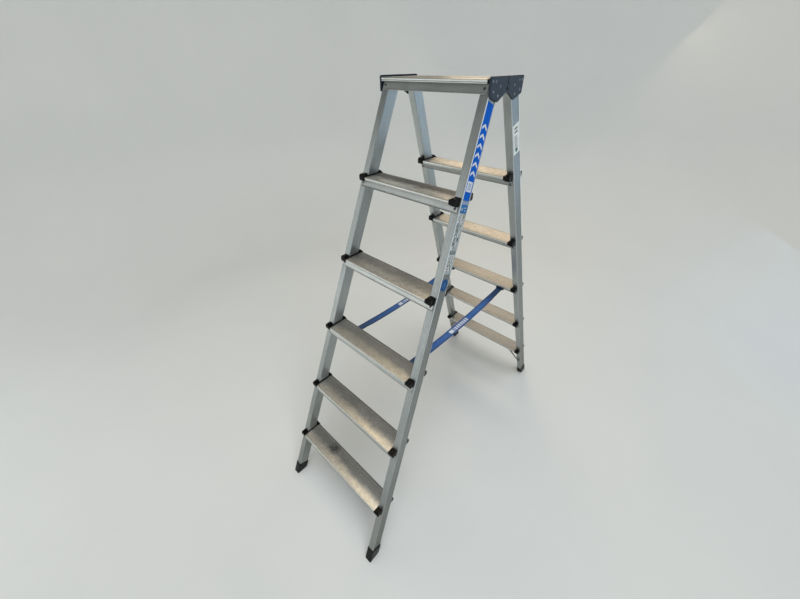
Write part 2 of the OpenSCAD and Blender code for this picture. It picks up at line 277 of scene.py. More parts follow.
def front_wear(s, ragged):
    """The mask of worn-through metal, the coating's tone and the bare metal's tone, on the front treads."""
    # Painted shade: the coating is darker on the lowest treads and much darker on the fifth, which is also a
    # little less worn
    worn = s.ramp(ragged, 0.58, s.blend(s.fifth, 0.20, 0.22), 0.0, 1.0, True)
    painted_darkening = s.times(s.ramp(s.z, tread_z(0), tread_z(2), 0.66, 0.92), s.blend(s.fifth, 1.0, 0.42))
    bare = s.mix(s.ramp(s.patch, 0.32, 0.68), (0.52, 0.50, 0.46), (0.78, 0.76, 0.71))
    return worn, s.scaled(s.coating, painted_darkening), bare


def rear_wear(s, ragged):
    """The same for the rear treads, which are bare nearly all over, and greyer the lower they are."""
    worn = s.ramp(ragged, 1.25, 0.75, 0.0, 1.0, True)
    bare = s.mix(s.ramp(s.patch, 0.32, 0.68), (0.47, 0.435, 0.385), (0.66, 0.615, 0.55))
    bare = s.tint(bare, s.ramp(s.bands, 0.42, 0.62), 0.30, (0.33, 0.31, 0.28))
    bare = s.mix(s.ramp(s.z, tread_z(3.2), tread_z(0), 0.0, 0.85), bare, (0.315, 0.320, 0.325))
    # Painted shade towards the left of the rear treads, and painted light on the higher ones
    bare = s.scaled(bare, s.ramp(s.across, 0.10, 0.55, 0.72, 1.0))
    bare = s.scaled(bare, s.ramp(s.z, tread_z(2), tread_z(3.4), 1.0, 1.24))
    return worn, s.coating, bare


RUB_MARK = (-0.078, -0.540, 0.246)


def tread_top(s, worn, coating, bare, dirt):
    """The tone of the tread's top: wear, flecks, scratches and dirt."""
    tone = s.mix(worn, coating, bare)
    # Painted shade and light: the top tread is darkened across its left and middle, and the fifth is lightened at
    # its left and darkened at its right
    tone = s.scaled(tone, s.blend(s.sixth, 1.0, s.ramp(s.across, 0.50, 0.85, 0.76, 0.94)))
    tone = s.scaled(tone, s.blend(s.times(s.sixth, s.band(s.across, 0.5, 0.10, 0.24)), 1.0, 0.82))
    tone = s.scaled(tone, s.blend(s.fifth, 1.0, s.ramp(s.across, 0.45, 0.80, 1.12, 0.76)))
    scratch = s.noise(s.mapped(s.place, rotation=(0, 0, 0.35), scale=(16, 700, 60)), detail=4)
    tone = s.tint(tone, s.ramp(s.fleck, 0.50, 0.70), 0.40, (0.74, 0.72, 0.68))
    tone = s.tint(tone, s.ramp(s.fleck, 0.46, 0.30), 0.35, (0.24, 0.235, 0.22))
    tone = s.tint(tone, s.ramp(scratch, 0.63, 0.70), 0.30, (0.76, 0.74, 0.70))
    tone = s.tint(tone, dirt, 0.60, (0.13, 0.12, 0.105))
    if s.ladder == "front":
        # One darker rub mark on the lowest front tread
        away = tuple(-c for c in RUB_MARK)
        mark = s.node("VectorMath", s.mapped(s.place, away), operation="LENGTH", out="Value")
        mark = s.times(s.ramp(mark, 0.034, 0.012, 0.0, 1.0, True), s.ramp(s.patch, 0.40, 0.56))
        tone = s.tint(tone, mark, 0.85, (0.045, 0.045, 0.045))
    return tone


# Distances below a tread's top: the groove in its nose, the nose's lower edge and the flange's lip
NOSE_GROOVE, NOSE_FOOT, FLANGE_LIP = 0.0071, 0.0112, 0.0290


def tread_side(s):
    """The tone below the top: a nose lightened partly as polish and partly as a painted highlight, with painted
    shade in its groove and along its foot, then a flange with painted shade along its lip.
    """
    # The tops are a step apart, so the distance below the next top up is what is left of a step
    drop = s.math("FRACT", s.math("DIVIDE", s.minus(s.z, FIRST_TREAD_Z + 0.0005 - STEP_RISE), STEP_RISE))
    drop = s.times(s.minus(1.0, drop), STEP_RISE)
    nose = s.ramp(drop, NOSE_FOOT + 0.0006, NOSE_FOOT - 0.0007)
    # Painted shade in the nose's groove, along the nose's foot and along the flange's lip
    painted_shade = s.larger(s.band(drop, NOSE_GROOVE, 0.0006, 0.0006), s.band(drop, NOSE_FOOT, 0.0009, 0.0010))
    painted_shade = s.larger(painted_shade, s.ramp(drop, FLANGE_LIP - 0.0008, FLANGE_LIP + 0.0008))
    flange = s.mix(s.ramp(s.cloud, 0.3, 0.7), (0.42, 0.44, 0.43), (0.54, 0.555, 0.54))
    # Painted shade and light: the fifth tread's flange and nose are darkened, and the top tread's flange is
    # lightened
    flange = s.scaled(flange, s.blend(s.fifth, 1.0, s.ramp(s.across, 0.2, 0.8, 0.68, 0.84)))
    flange = s.scaled(flange, s.blend(s.sixth, 1.0, 1.12))
    bright = s.mix(s.ramp(s.cloud, 0.3, 0.7), (0.64, 0.66, 0.63), (0.82, 0.83, 0.80))
    bright = s.scaled(bright, s.blend(s.larger(s.times(s.fifth, 0.6), s.sixth), 1.0, 0.78))
    tone = s.mix(nose, flange, bright)
    tone = s.tint(tone, s.ramp(s.lines, 0.3, 0.7), 0.25, (0.36, 0.38, 0.37))
    tone = s.tint(tone, s.ramp(s.fleck, 0.52, 0.70), 0.30, (0.70, 0.70, 0.68))
    return s.tint(tone, painted_shade, 0.75, (0.10, 0.105, 0.10))


def tread_material(name, ladder):
    """Extrusion whose coating is worn through from the nose inwards, with dirt, scratches, rubbed edges lightened
    also as a painted highlight, and painted shade along the top's far edge.
    """
    s = TreadShader(name, ladder)
    front = ladder == "front"
    ragged = s.plus(s.inwards, s.ramp(s.cloud, 0.25, 0.75, -0.16, 0.16))
    ragged = s.plus(ragged, s.ramp(s.patch, 0.25, 0.75, -0.10, 0.10))
    worn, coating, bare = front_wear(s, ragged) if front else rear_wear(s, ragged)
    dirt = s.noise(s.mapped(s.place, location=(3.1, 0.7, 0), scale=(34, 48, 48)), detail=7, roughness=0.72)
    dirt = s.times(s.ramp(dirt, 0.58, 0.70), s.ramp(s.fleck, 0.40, 0.58))
    tone = s.mix(s.top, tread_side(s), tread_top(s, worn, coating, bare, dirt))
    # Rubbed edges, lightened partly as wear and partly as a painted highlight
    soft = s.soft_edges(0.0010)
    edge = s.edge_mask(soft, 0.86)
    tone = s.tint(tone, edge, 0.62, (0.90, 0.89, 0.85))
    # Painted shade along the top's far edge, the one that faces away from the camera
    away = s.ramp(s.inwards, 0.880, 0.945) if front else s.ramp(s.inwards, 0.120, 0.055)
    tone = s.tint(tone, s.times(away, s.top), 0.50, (0.10, 0.10, 0.095))

    polish = (0.38, 0.29) if front else (0.50, 0.40)
    rough_top = s.blend(worn, s.ramp(s.cloud, 0.3, 0.75, 0.44, 0.54), s.ramp(s.patch, 0.3, 0.7, *polish))
    rough_top = s.plus(rough_top, s.ramp(s.fleck, 0.35, 0.7, -0.04, 0.07))
    rough = s.blend(s.top, s.ramp(s.bands, 0.3, 0.7, 0.32, 0.40), rough_top)
    rough = s.plus(rough, s.times(dirt, 0.2), clamp=True)
    grain = s.plus(s.times(s.lines, 0.6), s.times(s.bands, 0.7))
    grain = s.plus(grain, s.plus(s.times(s.fleck, 0.55), s.times(s.patch, 0.08)))
    s.set(Base_Color=tone, Metallic=1.0, Roughness=s.blend(edge, rough, 0.28),
          Normal=s.bump(grain, 0.16, 0.0004, soft))
    return s.material


def plastic_material(name, tone, rough, radius=0.0007):
    """Moulded plastic: fine texture, dust in places, rubbed edges."""
    s = Shader(name)
    p = s.coords()
    grain = s.noise(p, scale=1600, detail=2)
    cloud = s.noise(p, scale=42, detail=5, roughness=0.6)
    dust = s.ramp(s.noise(p, scale=160, detail=5, roughness=0.75), 0.56, 0.72)
    soft = s.soft_edges(radius)
    light = tuple(c * 2 + 0.001 for c in tone)
    colour = s.mix(s.ramp(cloud, 0.35, 0.7), tone, light)
    colour = s.tint(colour, dust, 0.022, (0.20, 0.19, 0.175))
    colour = s.tint(colour, s.edge_mask(soft), 0.06, (0.30, 0.28, 0.26))
    s.set(Base_Color=colour, Roughness=s.ramp(cloud, 0.3, 0.7, rough - 0.06, rough + 0.08),
          Specular_IOR_Level=0.11, Normal=s.bump(grain, 0.10, 0.0002, soft))
    return s.material


# The heights between which a hinge plate's paint turns into its lower rim
RIM_TOP, RIM_FOOT = 1.510, 1.5005


def hinge_material(name):
    """Dark slate paint over sheet steel: orange peel, rubbed spots and a dull lower rim."""
    s = Shader(name)
    p = s.coords()
    peel = s.noise(p, scale=420, detail=3, roughness=0.6)
    cloud = s.noise(p, scale=30, detail=5, roughness=0.6)
    chips = s.ramp(s.noise(p, scale=260, detail=6, roughness=0.75), 0.67, 0.71)
    low = s.ramp(s.split(p)[2], RIM_TOP, RIM_FOOT, 0.0, 1.0, True)
    tone = s.mix(s.ramp(cloud, 0.3, 0.7), (0.013, 0.023, 0.038), (0.021, 0.033, 0.053))
    tone = s.tint(tone, chips, 0.5, (0.30, 0.32, 0.35))
    tone = s.tint(tone, low, 0.55, (0.018, 0.024, 0.036))
    soft = s.soft_edges(0.0009)
    tone = s.tint(tone, s.edge_mask(soft), 0.24, (0.20, 0.23, 0.28))
    s.set(Base_Color=tone, Roughness=s.ramp(cloud, 0.3, 0.7, 0.34, 0.46), Specular_IOR_Level=0.20,
          Normal=s.bump(peel, 0.22, 0.0005, soft))
    return s.material


def metal_material(name, tone, rough, radius=0.0004):
    """Plain fittings: rivets, brackets, braces."""
    s = Shader(name)
    p = s.coords()
    cloud = s.noise(p, scale=90, detail=5, roughness=0.65)
    grain = s.noise(p, scale=1400, detail=2)
    dark = tuple(c * 0.62 for c in tone)
    s.set(Base_Color=s.mix(s.ramp(cloud, 0.3, 0.7), dark, tone), Metallic=1.0,
          Roughness=s.ramp(cloud, 0.3, 0.7, rough - 0.06, rough + 0.1),
          Normal=s.bump(grain, 0.12, 0.0002, s.soft_edges(radius)))
    return s.material


def film_material(name, tone, worn, amount, rough=0.32):
    """Printed film: slightly uneven, scuffed through in spots."""
    s = Shader(name)
    p = s.coords()
    cloud = s.noise(p, scale=60, detail=4, roughness=0.6)
    wear = s.ramp(s.noise(p, scale=230, detail=6, roughness=0.75), 0.62, 0.70)
    dark = tuple(c * 0.86 for c in tone)
    colour = s.mix(s.ramp(cloud, 0.3, 0.7), dark, tone)
    colour = s.tint(colour, wear, amount, worn)
    s.set(Base_Color=colour, Roughness=s.ramp(cloud, 0.3, 0.7, rough, rough + 0.1),
          Specular_IOR_Level=0.04, Normal=s.bump(cloud, 0.08, 0.0003))
    return s.material


# The webbing's threads, its pale middle stripe and its woven marks, in metres from its middle
WARP_PITCH, WEFT_PITCH = 0.0011, 0.0016
STRIPE_HALF, MARK_HALF = 0.0062, 0.0078
BLOCK = (-0.062, -0.040)
DASHES = (-0.034, 0.062)
DASH_PITCH = 0.0125


def webbing_material(name):
    """Flat woven polyester. U runs along the strap and V across it, both in metres."""
    s = Shader(name)
    uv = s.coords("UV")
    u, v = s.split(uv)[:2]
    across = s.math("ABSOLUTE", v)
    warp = s.math("SINE", s.times(v, 2 * math.pi / WARP_PITCH))
    shift = s.times(s.math("SIGN", warp), 0.5 * math.pi)
    weft = s.math("SINE", s.plus(s.times(u, 2 * math.pi / WEFT_PITCH), shift))
    weave = s.times(s.plus(weft, 1.0), s.math("ABSOLUTE", warp))
    fuzz = s.noise(s.mapped(uv, scale=(900, 2600, 1)), detail=3)
    cloud = s.noise(s.mapped(uv, scale=(26, 60, 1)), detail=4, roughness=0.6)
    stripe = s.ramp(across, STRIPE_HALF, 0.0080, 1.0, 0.0, True)
    edge = s.ramp(across, 0.0128, 0.0142, 0.0, 1.0, True)
    tone = s.mix(stripe, (0.014, 0.082, 0.31), (0.025, 0.155, 0.50))
    tone = s.tint(tone, edge, 0.5, (0.012, 0.045, 0.18))
    tone = s.tint(tone, s.ramp(weave, 0.2, 1.4, 1.0, 0.0), 0.45, (0.008, 0.03, 0.12))
    tone = s.tint(tone, s.ramp(cloud, 0.45, 0.75), 0.25, (0.20, 0.27, 0.42))
    tone = s.tint(tone, fuzz, 0.12, (0.25, 0.36, 0.62))

    # A plain woven block and a row of dashes in the middle stretch
    def between(low, high):
        return s.times(s.math("GREATER_THAN", u, low), s.math("LESS_THAN", u, high))

    beat = s.math("FRACT", s.math("DIVIDE", s.plus(u, 1.0), DASH_PITCH))
    dashes = s.times(s.math("LESS_THAN", beat, 0.58), between(*DASHES))
    mark = s.larger(dashes, between(*BLOCK))
    mark = s.times(mark, s.math("LESS_THAN", across, MARK_HALF))
    tone = s.tint(tone, mark, s.ramp(fuzz, 0.30, 0.62, 0.60, 0.97), (0.84, 0.87, 0.90))
    # The doubled ends are darker
    ends = s.ramp(s.math("ABSOLUTE", u), 0.170, 0.285, 0.0, 1.0, True)
    tone = s.tint(tone, ends, 0.72, (0.022, 0.034, 0.070))
    height = s.plus(s.times(weave, 0.5), s.times(fuzz, 0.3))
    s.set(Base_Color=tone, Roughness=0.72, Specular_IOR_Level=0.35, Sheen_Weight=0.25,
          Sheen_Roughness=0.4, Sheen_Tint=(0.35, 0.5, 0.85, 1), Normal=s.bump(height, 0.5, 0.0004))
    return s.material


def thread_material():
    """Twisted sewing thread, a little lighter than the webbing."""
    s = Shader("thread")
    twist = s.noise(s.coords(), scale=2600, detail=2)
    s.set(Base_Color=s.mix(twist, (0.03, 0.08, 0.25), (0.08, 0.17, 0.42)), Roughness=0.6,
          Normal=s.bump(twist, 0.3, 0.0002))
    return s.material


def ink_material(name, tone):
    """Slightly uneven printing ink."""
    s = Shader(name)
    cloud = s.noise(s.coords(), scale=150, detail=5, roughness=0.7)
    dark = tuple(c * 0.8 for c in tone)
    s.set(Base_Color=s.mix(s.ramp(cloud, 0.35, 0.7), dark, tone),
          Roughness=s.ramp(cloud, 0.3, 0.7, 0.34, 0.46))
    return s.material


RUBBED = (0.50, 0.53, 0.54)
BRIGHT_BLUE = (0.0, 0.118, 0.60)
MATERIALS = {
    "black_plastic": plastic_material("black_plastic", (0.0022, 0.0021, 0.0022), 0.30),
    "hinge_paint": hinge_material("hinge_paint"),
    "hinge_rivet": metal_material("hinge_rivet", (0.38, 0.42, 0.49), 0.32),
    "rivet_metal": metal_material("rivet_metal", (0.17, 0.175, 0.18), 0.42),
    "pin_metal": metal_material("pin_metal", (0.05, 0.05, 0.06), 0.40),
    "brace_steel": metal_material("brace_steel", (0.30, 0.31, 0.31), 0.45),
    "bracket_metal": metal_material("bracket_metal", (0.06, 0.075, 0.11), 0.42),
    "label_blue": film_material("label_blue", BRIGHT_BLUE, RUBBED, 0.04, 0.45),
    "label_slate": film_material("label_slate", (0.020, 0.17, 0.46), RUBBED, 0.28),
    "label_pale": film_material("label_pale", (0.43, 0.49, 0.51), (0.24, 0.27, 0.29), 0.55),
    "label_white": film_material("label_white", (0.84, 0.87, 0.85), (0.55, 0.57, 0.56), 0.25),
    "label_navy": film_material("label_navy", (0.004, 0.078, 0.26), RUBBED, 0.14),
}
for ladder in LADDERS:
    MATERIALS["tread_" + ladder] = tread_material("tread_" + ladder, ladder)
    for side in SIDES:
        key = f"stile_{ladder}_{side}"
        MATERIALS[key] = stile_material(key, side, ladder)
WEBBING = MATERIALS["strap_webbing"] = webbing_material("webbing")
THREAD = thread_material()
WHITE_INK = ink_material("white_ink", (0.80, 0.82, 0.83))
DARK_INK = ink_material("dark_ink", (0.020, 0.028, 0.031))
BLUE_INK = ink_material("blue_ink", BRIGHT_BLUE)
BADGE_INK = ink_material("badge_ink", (0.06, 0.19, 0.42))
OLIVE_INK = ink_material("olive_ink", (0.27, 0.24, 0.09))
GREEN_INK = ink_material("green_ink", (0.015, 0.16, 0.06))
PALE_INK = ink_material("pale_ink", (0.42, 0.47, 0.52))

SLOT_OF = {s["node"]: s["material_slot"] for s in frame["record"]["subparts"]}
# Nodes whose look differs from that of their slot
OWN_LOOK = {"rear_label": "label_white"}
OWN_LOOK.update((f"{ladder}_hinge_rivets", "hinge_rivet") for ladder in LADDERS)


def material_of(name):
    """The look of a CAD node. Each stile and each side's treads have their own."""
    ladder, last = name.split("_")[0], name.split("_")[-1]
    slot = SLOT_OF[name]
    if slot == "stile_aluminium":
        return MATERIALS[f"stile_{ladder}_{last}"]
    if slot == "tread_aluminium":
        return MATERIALS["tread_" + ladder]
    return MATERIALS[OWN_LOOK.get(name, slot)]


for name, obj in NODES.items():
    for holder in obj.material_slots:
        holder.material = material_of(name)


# ---------------------------------------------------------------- pieces
def add_piece(name, verts, faces, material, body, smooth=False, uvs=None):
    """A new mesh that rides on a body, where one is given."""
    mesh = bpy.data.meshes.new(name)
    mesh.from_pydata([tuple(v) for v in verts], [], faces)
    mesh.validate()
    mesh.update()
    if uvs is not None:
        layer = mesh.uv_layers.new(name="UVMap")
        for loop in mesh.loops:
            layer.data[loop.index].uv = uvs[loop.vertex_index]
    mesh.polygons.foreach_set("use_smooth", [smooth] * len(mesh.polygons))
    mesh.materials.append(material)
    obj = bpy.data.objects.new(name, mesh)
    bpy.context.scene.collection.objects.link(obj)
    if body:
        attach(obj, body)
    return obj


class Plate:
    """The outer face of a label: U up the stile, V towards the stile's front, N out of the face."""

    def __init__(self, node, ladder="front"):
        mirror = LADDERS[ladder]
        x = Vector((1, 0, 0))
        y = Vector((0, mirror * math.sin(LEAN), math.cos(LEAN)))
        self.v_axis = Vector((0, -mirror * math.cos(LEAN), math.sin(LEAN)))
        self.n_axis = math.cos(TAPER) * x + math.sin(TAPER) * y
        self.u_axis = -math.sin(TAPER) * x + math.cos(TAPER) * y
        corners = [v.co for v in NODES[node].data.vertices]
        spans = [[c.dot(a) for c in corners] for a in (self.u_axis, self.v_axis, self.n_axis)]
        self.u0, self.v0 = [(min(s) + max(s)) / 2 for s in spans[:2]]
        self.n0 = max(spans[2])
        self.half_u, self.half_v = [(max(s) - min(s)) / 2 for s in spans[:2]]

    def at(self, u, v, n):
        """The place at (u, v) from the label's middle, n above its face."""
        return (self.u0 + u) * self.u_axis + (self.v0 + v) * self.v_axis + (self.n0 + n) * self.n_axis


# How far ink stands out of a label, in millimetres: on the film, on other ink, and on top of that
INK_1, INK_2, INK_3 = 0.06, 0.09, 0.12


class Print:
    """Flat shapes of ink on a plate, joined into one mesh. Sizes in millimetres."""

    def __init__(self, plate):
        self.plate, self.verts, self.faces = plate, [], []

    def shape(self, outline, rise=INK_1):
        """Add a convex outline, (u, v) points that run anticlockwise with V to the right and U up."""
        start, n = len(self.verts), len(outline)
        for height in (-0.03, rise):
            for u, v in outline:
                self.verts.append(self.plate.at(u * MM, v * MM, height * MM))
        self.faces.append([start + i for i in range(n)])
        self.faces.append([start + n + i for i in reversed(range(n))])
        for i in range(n):
            j = (i + 1) % n
            self.faces.append([start + i, start + n + i, start + n + j, start + j])
        return self

    def rect(self, u0, u1, v0, v1, **more):
        return self.shape([(u0, v0), (u0, v1), (u1, v1), (u1, v0)], **more)

    def disc(self, u, v, r, count=28, **more):
        turn = [2 * math.pi * i / count for i in range(count)]
        return self.shape([(u + r * math.sin(a), v + r * math.cos(a)) for a in turn], **more)

    def ring(self, u, v, r, width, count=36):
        for i in range(count):
            a, b = 2 * math.pi * i / count, 2 * math.pi * (i + 1) / count
            pts = [(r, a), (r, b), (r - width, b), (r - width, a)]
            self.shape([(u + q * math.sin(t), v + q * math.cos(t)) for q, t in pts])
        return self

    def done(self, name, material, body, slot):
        obj = add_piece(name, self.verts, self.faces, material, body)
        fix_normals(obj)
        return obj


def fix_normals(obj):
    """Turn every face outwards."""
    bm = bmesh.new()
    bm.from_mesh(obj.data)
    bmesh.ops.recalc_face_normals(bm, faces=bm.faces)
    bm.to_mesh(obj.data)
    bm.free()


def blue_strip_art():
    """White border lines, a ladder sign and arrowheads."""
    plate = Plate("blue_strip_label")
    hu, hv = plate.half_u / MM, plate.half_v / MM
    white = Print(plate)
    for v in (-hv + 0.3, hv - 1.1):
        white.rect(-hu, hu, v, v + 0.8)
    # A plain badge at the foot of the strip, with a generic ladder sign on it
    badge = -hu + 22
    white.rect(badge, badge + 26, -hv + 4.5, hv - 4.5)
    # A row of plain arrowheads up the strip
    for i in range(6):
        u = badge + 38 + i * 22
        for sign in (-1, 1):
            tip, thick, wing = u + 14, 6.5, sign * (hv - 5)
            pts = [(u, wing), (u + thick, wing), (tip + thick * 0.2, 0), (tip - thick * 0.8, 0)]
            white.shape(pts if sign > 0 else pts[::-1])
    white.done("strip_print_white", WHITE_INK, "front_ladder", "label_blue")
    sign = Print(plate)
    for v in (-5.5, 3.9):
        sign.rect(badge + 3, badge + 23, v, v + 1.6, rise=INK_2)
    for k in range(4):
        sign.rect(badge + 5 + k * 4.7, badge + 6.6 + k * 4.7, -4, 4, rise=INK_2)
    sign.done("strip_print_sign", BLUE_INK, "front_ladder", "label_blue")


def small_label_art():
    """Two bars and a dot, and a pale panel with two lines at the top."""
    plate = Plate("small_label")
    hu, hv = plate.half_u / MM, plate.half_v / MM
    art = Print(plate)
    for k, length in enumerate((9, 14)):
        u = -hu + 5 + k * 7
        art.rect(u, u + 2.6, 5 - hv, 5 - hv + length)
    art.disc(-hu + 9, hv - 9, 4.0)
    art.rect(hu - 8.5, hu - 0.8, 1.0 - hv, hv - 1.0)
    art.done("small_label_print", PALE_INK, "front_ladder", "label_slate")
    lines = Print(plate)
    for u in (hu - 6.8, hu - 4.2):
        lines.rect(u, u + 1.1, 4 - hv, hv - 4, rise=INK_2)
    lines.done("small_label_lines", BLUE_INK, "front_ladder", "label_slate")


def pictogram_art():
    """A column of small abstract tiles like worn signs: strokes, blots and bars that stand for nothing."""
    plate = Plate("pictogram_label")
    hu, hv = plate.half_u / MM, plate.half_v / MM
    rng = random.Random(7)
    dark, light, olive = Print(plate), Print(plate), Print(plate)
    tile, half = 12.4, hv - 2.5
    rows = int((2 * hu - 3) / tile)
    for row in range(rows):
        u = hu - 1.5 - (row + 1) * tile
        for v0, v1 in ((-half, -0.4), (0.4, half)):
            if rng.random() < 0.75:
                light.rect(u + 0.6, u + tile - 0.9, v0, v1)
        dark.rect(u - 0.35, u + 0.35, -half, half, rise=INK_2)
        for v0 in (-half + 1, 0.6):
            wide = half - 1.6
            pick = rng.random()
            if pick < 0.5:
                # Two slanted strokes
                u0, u1 = u + 1.6, u + tile - 1.8
                for k in range(2):
                    v, slant = v0 + k * wide * 0.5, rng.choice((-1, 1)) * rng.uniform(1.5, wide * 0.4)
                    thick = rng.uniform(2.8, 4.4)
                    foot, head = v + max(-slant, 0), v + max(slant, 0)
                    dark.shape([(u0, foot), (u0, foot + thick), (u1, head + thick), (u1, head)], rise=INK_2)
            elif pick < 0.75:
                # A blot over a bar
                dark.disc(u + tile * 0.62, v0 + wide / 2, rng.uniform(2.8, 4.4), 12, rise=INK_2)
                dark.rect(u + 1.6, u + 3.4, v0 + 0.5, v0 + wide - rng.uniform(0.5, 3), rise=INK_2)
            else:
                # Three bars of uneven length
                for k in range(3):
                    bar = u + k * 3.3
                    dark.rect(bar + 1.6, bar + 3.2, v0, v0 + rng.uniform(0.45, 1.0) * wide, rise=INK_2)
    olive.rect(hu - 11.5, hu - 2.5, -half + 0.5, -half + 8.5, rise=INK_3)
    dark.done("pictogram_print", DARK_INK, "front_ladder", "label_pale")
    light.done("pictogram_light_print", WHITE_INK, "front_ladder", "label_pale")
    olive.done("pictogram_olive_print", OLIVE_INK, "front_ladder", "label_pale")


def badge_art():
    """Two rings round three bars."""
    plate = Plate("round_badge")
    art = Print(plate).ring(0, 0, 15.4, 0.8).ring(0, 0, 9.4, 1.6)
    for u in (-3.4, 0, 3.4):
        art.rect(u - 0.7, u + 0.7, -4.6, 4.6)
    art.done("badge_print", BADGE_INK, "front_ladder", "label_navy")


def rear_label_art():
    """Bars in place of lettering, and a green dot."""
    plate = Plate("rear_label", "rear")
    hu, hv = plate.half_u / MM, plate.half_v / MM
    rng = random.Random(11)
    art = Print(plate)
    for u in (hu - 14, hu - 24):
        art.rect(u, u + 4.5, -hv + 9, hv - 9)
    for k in range(7):
        u = hu - 36 - 6 * k
        art.rect(u, u + 2.2, -hv + 7, -hv + 7 + rng.uniform(12, 2 * hv - 15))
    art.done("rear_label_print", DARK_INK, "rear_ladder", "label_pale")
    Print(plate).disc(-hu + 12, 0, 6.5).done("rear_label_dot", GREEN_INK, "rear_ladder", "label_pale")


# ---------------------------------------------------------------- straps
STRAP_W, STRAP_T = 30 * MM, 1.5 * MM
# The webbing's own radius round a bar, and the length of a doubled end
LOOP_R = 3.85 * MM
TAIL = 62 * MM
# Half the distance between the two layers of a doubled end
LAYER = 0.85 * MM
# The strap narrows to this share of its width, from here before its bar and over this length
GATHER, GATHER_FROM, GATHER_OVER = 0.86, 105 * MM, 60 * MM
STITCH_PITCH, STITCH_R = 3.4 * MM, 0.32 * MM


def smooth_step(t):
    """From 0 to 1 with a soft start and end."""
    t = min(max(t, 0.0), 1.0)
    return t * t * (3 - 2 * t)


def strap_section(half_w, half_t):
    """Ribbon outline: flat faces with thicker, rounded selvedges."""
    pts = []
    for sign in (1, -1):
        for w, t in ((0.82, 0.92), (0.90, 1.0), (0.97, 0.95), (1.0, 0.45)):
            pts.append((sign * w * half_w, sign * t * half_t))
        for w, t in ((1.0, -0.45), (0.97, -0.95), (0.90, -1.0), (0.82, -0.92)):
            pts.append((sign * w * half_w, sign * t * half_t))
    return pts


def strap_line(d, length, sag):
    """How far the strap hangs below its bars at the distance d from one of them, and its slope there."""
    t = max(d, 0) / length
    return sag * (1 - (1 - t) ** 2), 2 * sag * (1 - t) / length


def strap_route(bar_y, bar_z, mid_z):
    """Centre line as (y, z) points, from the end of one tail round both bars to the end of the other tail."""
    length, sag = abs(bar_y), bar_z - mid_z
    tail, layer, loop = TAIL / MM, LAYER / MM, LOOP_R / MM
    # Half the strap in millimetres: distance d from the bar, offset n from the strap's own line
    neck, throat = 14, [(11, 1.25), (8, 2.1), (5.2, 3.1)]
    end = [(d, -layer) for d in np.linspace(tail, neck, 18)] + [(d, -n) for d, n in throat]
    turn = np.linspace(math.radians(-62), math.radians(-298), 22)
    end += [(loop * math.cos(a), loop * math.sin(a)) for a in turn] + throat[::-1]
    end += [(d, layer) for d in np.linspace(neck, tail, 18)]
    end += [(tail + d, layer * (1 - d / neck)) for d in (4, 9, 14)]
    end += [(d, 0.0) for d in np.linspace(tail + 20, length / MM, 60)]
    half = []
    for d, n in end:
        drop, slope = strap_line(d * MM, length, sag)
        norm = math.hypot(1, slope)
        half.append((d * MM - length + n * MM * slope / norm, bar_z - drop + n * MM / norm))
    return half + [(-y, z) for y, z in reversed(half[:-1])]


def build_strap(side):
    """A ribbon swept along its route, and the stitches of its ends."""
    swing, bend = JOINTS[f"strap_{side}_swing"]["pos_m"], JOINTS[f"strap_{side}_bend"]["pos_m"]
    x0, bar_y, bar_z = swing
    route = strap_route(bar_y, bar_z, bend[2])
    section = strap_section(STRAP_W / 2, STRAP_T / 2)
    verts, faces, uvs = [], [], []
    run = [0.0]
    for a, b in zip(route, route[1:]):
        run.append(run[-1] + math.dist(a, b))
    middle = run[-1] / 2
    count = len(section)
    for i, (y, z) in enumerate(route):
        a, b = route[max(i - 1, 0)], route[min(i + 1, len(route) - 1)]
        ty, tz = b[0] - a[0], b[1] - a[1]
        size = math.hypot(ty, tz)
        ny, nz = -tz / size, ty / size
        gather = 1 - (1 - GATHER) * smooth_step((abs(y) - abs(bar_y) + GATHER_FROM) / GATHER_OVER)
        for w, t in section:
            verts.append((x0 + w * gather, y + ny * t, z + nz * t))
            uvs.append((run[i] - middle, w))
    for i in range(len(route) - 1):
        for k in range(count):
            m = (k + 1) % count
            faces.append((i * count + k, i * count + m, (i + 1) * count + m, (i + 1) * count + k))
    faces.append(tuple(range(count)))
    faces.append(tuple(len(verts) - count + k for k in reversed(range(count))))
    obj = add_piece(f"strap_{side}", verts, faces, WEBBING, None, True, uvs)
    fix_normals(obj)
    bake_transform(obj)
    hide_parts(f"strap_{side}_front_half", f"strap_{side}_rear_half")
    for end, sign in (("front", 1), ("rear", -1)):
        stitches(f"strap_{side}_stitches_{end}", x0, bar_y, bar_z, bend[2], sign, f"strap_{side}_{end}")


def capsule(verts, faces, a, b, r, up):
    """A short thread from a to b, arched a little along up."""
    start, rings, sides = len(verts), 5, 6
    line = (b - a).normalized()
    across = line.cross(up).normalized()
    for i in range(rings):
        t = i / (rings - 1)
        centre = a.lerp(b, t) + up * r * (math.sin(math.pi * t) * 0.9 - 0.35)
        thick = r * (0.35 + 0.65 * math.sin(math.pi * min(max(t, 0.08), 0.92)))
        for k in range(sides):
            q = 2 * math.pi * k / sides
            verts.append(centre + (across * math.cos(q) + up * math.sin(q)) * thick)
    for i in range(rings - 1):
        for k in range(sides):
            m = (k + 1) % sides
            p = start + i * sides
            faces.append((p + k, p + m, p + sides + m, p + sides + k))
    faces.append(tuple(start + k for k in reversed(range(sides))))
    faces.append(tuple(start + (rings - 1) * sides + k for k in range(sides)))


